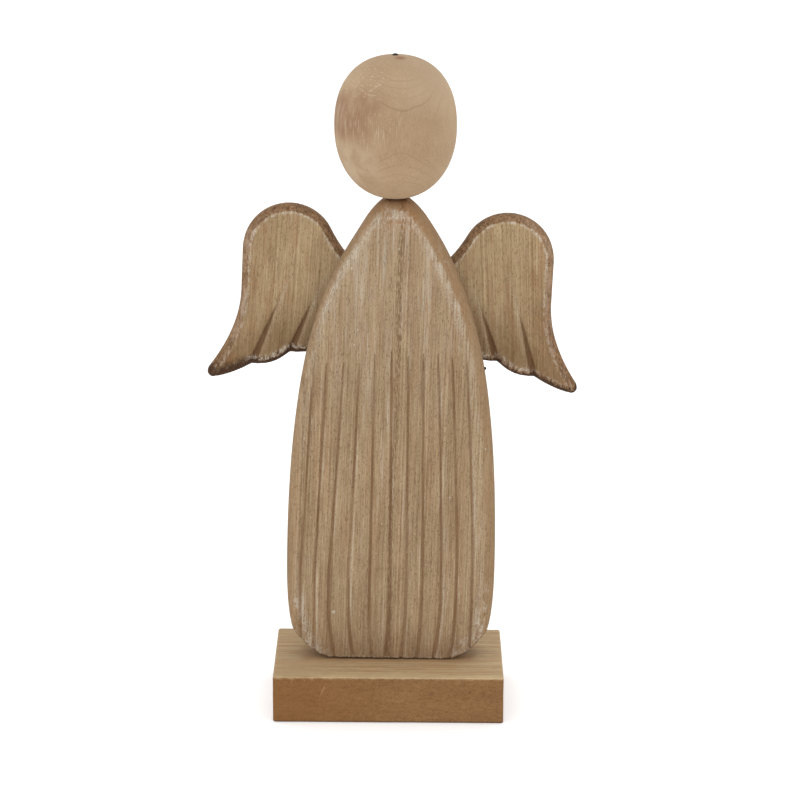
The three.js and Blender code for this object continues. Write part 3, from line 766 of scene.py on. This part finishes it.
def wing_finish(name, turn, shift, haze, scorch_and_shade_depth):
    """Limed wing wood, its grain turned and from its own part of the log, hazed by hand and darkened along
    its lower edges with scorch and painted shade
    """
    material, tree = open_material(name)
    place = wood_space(tree, turn=(0, turn, 0), shift=shift)
    layers, fibres, pores, speckle = grain(tree, place, 1.0, 0.5, 4)
    rim, carved, sawn, lip = [marked(tree, mark_name) for mark_name in ("rim", "carved", "sawn", "lip")]
    here_x, _, here_z = split(tree, wood_space(tree))
    tone = noise(tree, place, (0.2, 0.2, 0.03), 3, 0.6)
    patchy = noise(tree, place, (0.18, 0.18, 0.12), 3, 0.6)
    smears = noise(tree, place, (0.8, 0.8, 0.5), 3, 0.65)
    level = blend(tree, (layers, 0.6), (fibres, 0.65), (speckle, 0.45), (tone, 0.5), (patchy, 0.35))
    colour = coat(tree, WING_BROWN, WING_PALE, level)
    ruddy = noise(tree, place, (0.3, 0.3, 0.06), 2, 0.6)
    colour = coat(tree, colour, WING_RUDDY, fade(tree, ruddy, 0.5, 0.7), 0.3)
    threads = fade(tree, noise(tree, place, (1.5, 1.5, 0.03), 2, 0.6), 0.58, 0.74)
    colour = coat(tree, colour, LIME, threads, fade(tree, tone, 0.42, 0.6), 0.4)
    span = sums(tree, "ABSOLUTE", here_x)
    outer = fade(tree, span, 50, 78)
    colour = coat(tree, colour, WING_PALE, fade(tree, span, 50, 34), 0.16)
    worn = sums(tree, "MAXIMUM", product(tree, fade(tree, sawn, 28, 4), 0.5), product(tree, outer, 0.55))
    colour = coat(tree, colour, WING_BROWN, worn, fade(tree, sawn, 60, 20))
    colour = coat(tree, colour, WING_RUDDY, outer, fade(tree, patchy, 0.3, 0.6), 0.3)
    colour = coat(tree, colour, WING_PORE, pores, 0.5)
    powder = blend(tree, (speckle, 1.9), (fibres, 1.2))
    colour = coat(tree, colour, LIME, lip, fade(tree, powder, 0.1, 0.9), 0.4)
    band = fade(tree, rim, 3.2, 2.4)
    routed = blend(tree, (fibres, 1.0), (speckle, 1.1), (smears, 1.7), (patchy, 1.0))
    routed = coat(tree, WING_BAND_DARK, WING_BAND_PALE, routed)
    bloom = fade(tree, noise(tree, place, (0.4, 0.4, 0.12), 4, 0.7), 0.36, 0.66)
    hazy = product(tree, fade(tree, span, 54, 62), fade(tree, here_z, 156, 170), fade(tree, rim, -0.6, 1.4))
    routed = coat(tree, routed, WING_BLOOM, bloom, hazy, haze)
    scraped = fade(tree, noise(tree, place, (1.6, 1.6, 0.3), 3, 0.65), 0.5, 0.66)
    scraped = product(tree, scraped, fade(tree, here_z, 168, 156), fade(tree, rim, 0.8, 2.0), 0.4)
    routed = coat(tree, routed, LIME, scraped)
    crumbs = fade(tree, noise(tree, place, (2.2, 2.2, 1.4), 3, 0.65), 0.5, 0.7)
    routed = coat(tree, routed, WING_CRUMB, crumbs, fade(tree, here_z, 165, 195), 0.6)
    colour = coat(tree, colour, routed, band)
    smudged = sums(tree, "MULTIPLY_ADD", sums(tree, "SUBTRACT", smears, 0.5), 1.6, rim)
    line = product(tree, fade(tree, smudged, 2.5, 3.0), fade(tree, smudged, 4.4, 3.3))
    high = sums(tree, "MULTIPLY_ADD", fade(tree, here_z, 180, 205), 0.4, 0.45)
    line = product(tree, line, high, fade(tree, smears, 0.45, 0.56), fade(tree, powder, 0.0, 0.8))
    colour = coat(tree, colour, LIME, line)
    cut = product(tree, fade(tree, carved, 0.04, 0.4), sums(tree, "MULTIPLY_ADD", fibres, -0.6, 1.05))
    colour = coat(tree, colour, WING_GROOVE, cut)
    # Scorch along the sawn lower edges, with painted shade on their undersides: darker there, widest towards
    # the tips.
    ragged = product(tree, sums(tree, "SUBTRACT", smears, 0.5), 4)
    widened = product(tree, fade(tree, span, 56, 66), fade(tree, span, 80, 72))
    dark_edge_reach = sums(tree, "DIVIDE", sums(tree, "ADD", sawn, ragged), sums(tree, "ADD", widened, 1.5))
    scorched_and_shaded = fade(tree, dark_edge_reach, scorch_and_shade_depth, 0.3 * scorch_and_shade_depth)
    dark_edge_amount = sums(tree, "MULTIPLY_ADD", powder, -0.4, 1.12)
    colour = coat(tree, colour, WING_SCORCH_AND_SHADE, scorched_and_shaded, dark_edge_amount)
    scuffs = product(tree, fade(tree, sawn, 5.0, 3.0), fade(tree, sawn, 1.4, 2.4))
    scuffs = product(tree, scuffs, fade(tree, smears, 0.4, 0.56))
    scuffs = product(tree, scuffs, fade(tree, outer, 0.6, 0.1), fade(tree, powder, 0.2, 0.8), 1.1 * haze)
    colour = coat(tree, colour, LIME, scuffs)
    finish_limed(tree, colour, fibres, pores, patchy)
    return material


for hand, wing, turn, shift, haze, scorch_and_shade_depth in (
    ("left", left_wing, math.radians(-4), (140, 60, 30), 0.7, 2.7),
    ("right", right_wing, math.radians(2), (-90, -40, 85), 0.55, 1.3),
):
    fixed_in_place(wing, wings_place)
    smoothed(wing, 50)
    wing_wood = wing_finish(f"limed_{hand}_wing", turn, shift, haze, scorch_and_shade_depth)
    hand_over(wing, wing_wood, "wing_wood", f"{hand}_wing")

# Brads
# Four short wire nails that hold the wings to the robe while the glue sets, driven from behind and
# punched just below the surface. Each has a flat round head and a cut point.
BRAD_HEAD_RADIUS, BRAD_HEAD_THICKNESS, BRAD_RADIUS = 1.6, 0.8, 0.8
BRAD_LENGTH, BRAD_POINT, BRAD_SINK, BRAD_WORN = 17.5, 2, 0.3, 0.25
NAIL_TIP = 0.12


def drawn_out(length, width):
    """Draws the selected end face out along the nail and sets how wide it becomes"""
    bpy.ops.mesh.extrude_region_move(TRANSFORM_OT_translate={"value": (0, 0, length * MM)})
    if width != 1:
        bpy.ops.transform.resize(value=(width, width, 1))


def wire_nail(name, head_radius, head_thickness, radius, length, point, worn):
    """A nail hanging from its head, whose outer face is at the origin"""
    bpy.ops.object.select_all(action="DESELECT")
    bpy.ops.mesh.primitive_cylinder_add(
        vertices=28,
        radius=head_radius * MM,
        depth=head_thickness * MM,
        location=(0, 0, -head_thickness / 2 * MM),
    )
    nail = named(name)
    fixed_in_place(nail, Matrix.Identity(4))
    pick_faces(nail, lambda face: face.normal.z > 0.9)
    bpy.ops.mesh.bevel(offset=worn * MM, segments=4, affect="EDGES")
    bpy.ops.object.mode_set(mode="OBJECT")
    pick_faces(nail, lambda face: face.normal.z < -0.9)
    bpy.ops.mesh.inset(thickness=(head_radius - radius) * MM)
    drawn_out(-(length - head_thickness - point), 1)
    drawn_out(-point, NAIL_TIP)
    bpy.ops.object.mode_set(mode="OBJECT")
    return nail


def fitted_copy(piece, name, place):
    """A copy of a fixing with its own mesh, put where it belongs"""
    only(piece)
    bpy.ops.object.duplicate()
    copy = named(name)
    fixed_in_place(copy, place)
    smoothed(copy, 35)
    return copy


NAIL_STEEL = stain(120, 112, 102)
NAIL_RUST = stain(92, 72, 56)


def wire_steel(name, bright, rust, amount):
    """Dull drawn steel, spotted where it has begun to rust"""
    material, tree = open_material(name)
    place = wood_space(tree)
    spots = noise(tree, place, (1.4, 1.4, 1.4), 4, 0.65)
    rusty = product(tree, fade(tree, spots, 0.42, 0.62), amount)
    colour = coat(tree, bright, rust, rusty)
    scratches = noise(tree, place, (9, 1.2, 9), 2)
    finish_shader(tree, colour, fade(tree, spots, -0.4, 1.3), scratches, 0.03 * MM, 0.5)
    tree.nodes["Principled BSDF"].inputs["Metallic"].default_value = 0.85
    return material


brad = wire_nail(
    "wing_brad",
    head_radius=BRAD_HEAD_RADIUS,
    head_thickness=BRAD_HEAD_THICKNESS,
    radius=BRAD_RADIUS,
    length=BRAD_LENGTH,
    point=BRAD_POINT,
    worn=BRAD_WORN,
)
brad_steel = wire_steel("brad_wire", NAIL_STEEL, NAIL_RUST, 0.6)
brad_turn = Matrix.Rotation(-math.pi / 2, 4, "X")
for hand, side in (("left", -1), ("right", 1)):
    for level, (across, up) in BRAD_PLACES.items():
        head_face = Vector((side * across, WING_THICKNESS / 2 - BRAD_SINK, up)) * MM
        brad_place = wings_place @ Matrix.Translation(head_face) @ brad_turn
        copy = fitted_copy(brad, f"{hand}_brad_{level}", brad_place)
        hand_over(copy, brad_steel, "nail_steel", f"{hand}_wing_brad_{level}")
bpy.data.objects.remove(brad)

# Base screws
# Two countersunk wood screws, zinc plated, that come up through the block into the foot of the robe.
# Only their heads with the cross recess show, from below.
SCREW_HEAD_RADIUS, SCREW_HEAD_HEIGHT, SCREW_RADIUS = 4, 2.4, 2
SCREW_SINK, SCREW_LENGTH, SCREW_POINT = 0.6, 42.93, 5
SCREW_TIP, SCREW_WORN = 0.1, 0.2
RECESS_LENGTH, RECESS_WIDTH, RECESS_DEPTH = 4.6, 1.0, 1.6
RECESS_TURN, RECESS_TAPER = math.radians(20), 0.55
SCREW_ZINC = stain(178, 172, 156)
SCREW_DULLED = stain(128, 112, 84)
bpy.ops.object.select_all(action="DESELECT")
bpy.ops.mesh.primitive_cone_add(
    vertices=40,
    radius1=SCREW_HEAD_RADIUS * MM,
    radius2=SCREW_RADIUS * MM,
    depth=SCREW_HEAD_HEIGHT * MM,
    location=(0, 0, SCREW_HEAD_HEIGHT / 2 * MM),
)
screw = named("base_screw")
fixed_in_place(screw, Matrix.Identity(4))
pick_faces(screw, lambda face: face.normal.z > 0.9)
drawn_out(SCREW_LENGTH - SCREW_HEAD_HEIGHT - SCREW_POINT, 1)
drawn_out(SCREW_POINT, SCREW_TIP)
bpy.ops.object.mode_set(mode="OBJECT")
pick_faces(screw, lambda face: face.normal.z < -0.9)
bpy.ops.mesh.bevel(offset=SCREW_WORN * MM, segments=3, affect="EDGES")
bpy.ops.object.mode_set(mode="OBJECT")
for turn in (0, math.pi / 2):
    bpy.ops.object.select_all(action="DESELECT")
    bpy.ops.mesh.primitive_cube_add(
        size=1,
        location=(0, 0, 0),
        rotation=(0, 0, turn + RECESS_TURN),
        scale=Vector((RECESS_LENGTH, RECESS_WIDTH, 2 * RECESS_DEPTH)) * MM,
    )
    recess = named("recess")
    pick_faces(recess, lambda face: face.normal.z > 0.9)
    bpy.ops.transform.resize(value=(RECESS_TAPER, RECESS_TAPER, 1))
    bpy.ops.object.mode_set(mode="OBJECT")
    cut_out(screw, recess)
screw_zinc = wire_steel("screw_zinc", SCREW_ZINC, SCREW_DULLED, 0.35)
for hand, across in zip(("left", "right"), SCREW_PLACES):
    foot = Vector((across * MM, 0, SCREW_SINK * MM - FIGURE_FOOT.z))
    copy = fitted_copy(screw, f"{hand}_base_screw", figure_place @ Matrix.Translation(foot))
    hand_over(copy, screw_zinc, "screw_steel", f"base_screw_{hand}")
bpy.data.objects.remove(screw)

# Head
# A bare egg turned from a pale stick whose pith lies just in front of its middle, so the growth
# rings show as arcs above and below. It is fine sanded, a little stained on one side, and bored
# right through for the nail that holds it on the neck.
HEAD_RADIUS, HEAD_CROWN, HEAD_CHIN = 25.9, 29.9, 31
CROWN_FULLNESS, CHIN_FULLNESS = 2.3, 2.15
HEAD_SEAT_RADIUS = 5
HEAD_BORE_RADIUS, HEAD_BORE_DEPTH = 1.35, 6
HEAD_OFF, HEAD_UP, HEAD_TILT = -0.3, 204.9, math.radians(-1.15)
chin_drop = HEAD_CHIN * (1 - (HEAD_SEAT_RADIUS / HEAD_RADIUS) ** CHIN_FULLNESS) ** (1 / CHIN_FULLNESS)
head_length = HEAD_CROWN + chin_drop
head_place = (
    figure_place
    @ Matrix.Translation(Vector((HEAD_OFF, 0, HEAD_UP)) * MM)
    @ Matrix.Rotation(HEAD_TILT, 4, "Y")
)
bpy.ops.object.select_all(action="DESELECT")
bpy.ops.mesh.primitive_uv_sphere_add(segments=120, ring_count=80, radius=MM)
head = named("head_turned")
ball = mesh_spots(head)
below = ball[:, 2] < 0
tall = np.where(below, HEAD_CHIN, HEAD_CROWN) * np.sign(ball[:, 2])
power = 2 / np.where(below, CHIN_FULLNESS, CROWN_FULLNESS)
girth = np.linalg.norm(ball[:, :2], axis=1)
swell = HEAD_RADIUS * girth**power / np.maximum(girth, 1e-6)
egg = np.column_stack([ball[:, :2] * swell[:, None], tall * np.abs(ball[:, 2]) ** power + chin_drop])
move_mesh(head, egg)
bpy.ops.object.mode_set(mode="EDIT")
bpy.ops.mesh.select_all(action="SELECT")
bpy.ops.mesh.bisect(plane_co=(0, 0, 0), plane_no=(0, 0, 1), clear_inner=True, use_fill=True)
bpy.ops.object.mode_set(mode="OBJECT")
bpy.ops.object.select_all(action="DESELECT")
bpy.ops.mesh.primitive_cylinder_add(
    vertices=40,
    radius=HEAD_BORE_RADIUS * MM,
    depth=2 * HEAD_BORE_DEPTH * MM,
    location=(0, 0, head_length * MM),
)
cut_out(head, named("nail_bore"))
fixed_in_place(head, head_place)
smoothed(head, 40)

HEAD_BROWN = stain(128, 96, 64)
HEAD_PALE = stain(190, 166, 136)
HEAD_RING = stain(122, 92, 64)
HEAD_STAIN = stain(138, 104, 80)
HEAD_LIGHTER = stain(188, 168, 144)
HEAD_FLECK = stain(196, 178, 154)
HEAD_BURN = stain(128, 88, 58)
PITH, PITH_LEAN = (0.8, -8.5), -0.035
RING_PITCH = 1.9
DARK_RING = 16.6
BURN_SPOT = (1.5, -5.0)
head_finish, tree = open_material("sanded_turned_egg")
place = wood_space(tree)
here_x, here_y, here_z = split(tree, place)
head_foot = head_place.translation / MM
up = sums(tree, "SUBTRACT", here_z, head_foot.z)
aside = sums(tree, "SUBTRACT", here_x, head_foot.x)
fibres = noise(tree, place, (1.8, 1.8, 0.14), 3, 0.6)
speckle = noise(tree, place, (1.7, 1.7, 1.5), 2, 0.65)
clouds = noise(tree, place, (0.1, 0.1, 0.07), 3, 0.6)
# Painted light: paler at the crown, at the chin and towards the sides, as the egg's edges catch light from
# all round.
bright = sums(tree, "MULTIPLY_ADD", fade(tree, up, 24, 8), 0.6, fade(tree, up, 30, 52))
bright = sums(tree, "ADD", bright, fade(tree, sums(tree, "ABSOLUTE", aside), 12, 25))
level = blend(tree, (fibres, 0.25), (speckle, 0.45), (clouds, 0.4), (bright, 0.16))
colour = coat(tree, HEAD_BROWN, HEAD_PALE, level)
above_girth = sums(tree, "SUBTRACT", up, chin_drop)
from_front = sums(tree, "MULTIPLY_ADD", above_girth, PITH_LEAN, here_y)
wander = sums(tree, "SUBTRACT", noise(tree, place, (0.06, 0.06, 0.03), 2), 0.5)
grown = sums(tree, "MULTIPLY_ADD", wander, 1.6, from_axis(tree, aside, from_front, PITH))
years = sums(tree, "DIVIDE", grown, RING_PITCH)
late = sums(tree, "ABSOLUTE", sums(tree, "SUBTRACT", sums(tree, "FRACT", years), 0.5))
year = {"W": sums(tree, "ROUND", years)}
good_year = add_node(tree, "TexWhiteNoise", year, noise_dimensions="1D").outputs[0]
sloped = fade(tree, sums(tree, "ABSOLUTE", above_girth), 2, 9)
late = product(tree, fade(tree, late, 0.32, 0.5), good_year, sloped, fade(tree, grown, 3, 7))
late = product(tree, late, fade(tree, clouds, 0.3, 0.6), 0.25)
dry_year = sums(tree, "DIVIDE", sums(tree, "SUBTRACT", grown, DARK_RING), above_girth)
dry_year = fade(tree, sums(tree, "ABSOLUTE", dry_year), 0.016, 0.004)
strength = sums(tree, "MULTIPLY_ADD", fade(tree, above_girth, -2, 2), 0.12, 0.18)
dry_year = product(tree, dry_year, fade(tree, aside, 19, 12), strength)
late = product(tree, sums(tree, "MAXIMUM", late, dry_year), fade(tree, aside, -15, -3))
colour = coat(tree, colour, HEAD_RING, late)
climb = product(tree, sums(tree, "SUBTRACT", up, 34), -0.5)
slant = sums(tree, "ADD", aside, climb)
left_side = product(tree, fade(tree, slant, -3, -19), fade(tree, up, 24, 31), fade(tree, up, 52, 41))
dragged = fade(tree, noise(tree, place, (0.3, 0.3, 0.08), 2, 0.55), 0.1, 0.75)
colour = coat(tree, colour, HEAD_STAIN, left_side, dragged, 0.95)
# Painted light: the upper right of the egg is paler.
painted_crown_light = product(tree, fade(tree, aside, -4, 12), fade(tree, up, 34, 50), 0.2)
colour = coat(tree, colour, HEAD_LIGHTER, painted_crown_light)
pale_side = product(tree, fade(tree, aside, -4, -14), fade(tree, up, 28, 20), fade(tree, up, 4, 12))
colour = coat(tree, colour, HEAD_LIGHTER, pale_side, fade(tree, clouds, 0.4, 0.6), 0.4)
dashes = fade(tree, noise(tree, place, (2.0, 2.0, 0.15), 1), 0.56, 0.74)
dashes = product(tree, dashes, fade(tree, aside, 8, -2), fade(tree, up, 21, 27), fade(tree, up, 44, 36), 0.45)
flecks = fade(tree, noise(tree, place, (0.7, 0.7, 1.3), 2), 0.56, 0.7)
flecks = product(tree, flecks, fade(tree, aside, 0, -8), fade(tree, up, 43, 48), fade(tree, up, 60, 55), 0.5)
colour = coat(tree, colour, HEAD_FLECK, sums(tree, "MAXIMUM", dashes, flecks))
burn = fade(tree, from_axis(tree, aside, here_y, BURN_SPOT), 3.6, 0.6)
burn = product(tree, burn, fade(tree, up, head_length - 6, head_length - 3), 0.7)
colour = coat(tree, colour, HEAD_BURN, burn)
finish_shader(tree, colour, fade(tree, clouds, -1.2, 1.2), fibres, 0.06 * MM, 0.2)
hand_over(head, head_finish, "head_wood", "head")

# Neck nail
# A lost-head nail driven down through the egg into the end grain of the robe. Its small dark head
# stands a little proud of the crown.
NECK_NAIL_HEAD_RADIUS, NECK_NAIL_HEAD_LENGTH, NECK_NAIL_RADIUS = 1.3, 2.6, 1.2
NAIL_PROUD, NECK_NAIL_GRIP, NECK_NAIL_POINT, NECK_NAIL_WORN = 0.7, 26.3, 4, 0.85
NECK_NAIL_DARK = stain(62, 54, 48)
NECK_NAIL_RUST = stain(46, 36, 30)
nail = wire_nail(
    "neck_nail_driven",
    head_radius=NECK_NAIL_HEAD_RADIUS,
    head_thickness=NECK_NAIL_HEAD_LENGTH,
    radius=NECK_NAIL_RADIUS,
    length=NAIL_PROUD + head_length + NECK_NAIL_GRIP,
    point=NECK_NAIL_POINT,
    worn=NECK_NAIL_WORN,
)
nail_top = Vector((0, 0, head_length + NAIL_PROUD)) * MM
fixed_in_place(nail, head_place @ Matrix.Translation(nail_top))
smoothed(nail, 35)
neck_nail_wire = wire_steel("neck_nail_wire", NECK_NAIL_DARK, NECK_NAIL_RUST, 0.7)
hand_over(nail, neck_nail_wire, "nail_steel", "neck_nail")

# Studio
# A pale light table under a bright, even tent of light, with one large soft lamp in front and above.
FLOOR_SIZE, FLOOR_LEVEL = 6, -0.05 * MM
PAPER = {
    "Base Color": (0.97, 0.97, 0.97, 1),
    "Roughness": 0.9,
    "Emission Color": (1, 1, 1, 1),
    "Emission Strength": 0.2,
}
bpy.ops.object.select_all(action="DESELECT")
bpy.ops.mesh.primitive_plane_add(size=FLOOR_SIZE, location=(0, 0, FLOOR_LEVEL))
floor = named("floor")
floor_paper, tree = open_material("pale_paper")
for name, value in PAPER.items():
    tree.nodes["Principled BSDF"].inputs[name].default_value = value
floor.data.materials.append(floor_paper)

scene = bpy.context.scene
scene.view_settings.view_transform = "Standard"
TENT_STRENGTH = 1.08
tent = bpy.data.worlds.new("light_tent")
tent.use_nodes = True
tent.node_tree.nodes["Background"].inputs["Color"].default_value = (1, 1, 1, 1)
tent.node_tree.nodes["Background"].inputs["Strength"].default_value = TENT_STRENGTH
scene.world = tent

LAMP_PLACE = Vector((-0.25, -0.9, 1.1))
LAMP_AIM = Vector((0, 0, 0.14))
LAMP_SIZE, LAMP_POWER = 0.9, 2
bpy.ops.object.light_add(type="AREA", location=LAMP_PLACE)
lamp = named("soft_lamp")
lamp.data.size = LAMP_SIZE
lamp.data.energy = LAMP_POWER
lamp.rotation_euler = (LAMP_AIM - LAMP_PLACE).to_track_quat("-Z", "Y").to_euler()

CAMERA_PLACE = Vector((5.63, -1254.19, 488.13)) * MM
CAMERA_DOWN, CAMERA_TURN, CAMERA_ROLL = 0.273, 0.00109, 0.00662
CAMERA_LENS, CAMERA_SENSOR = 135.7, 36
bpy.ops.object.camera_add()
camera = named("camera")
camera.data.lens = CAMERA_LENS
camera.data.sensor_width = CAMERA_SENSOR
camera.matrix_world = (
    Matrix.Translation(CAMERA_PLACE)
    @ Matrix.Rotation(CAMERA_TURN, 4, "Z")
    @ Matrix.Rotation(math.pi / 2 - CAMERA_DOWN, 4, "X")
    @ Matrix.Rotation(CAMERA_ROLL, 4, "Z")
)
scene.camera = camera
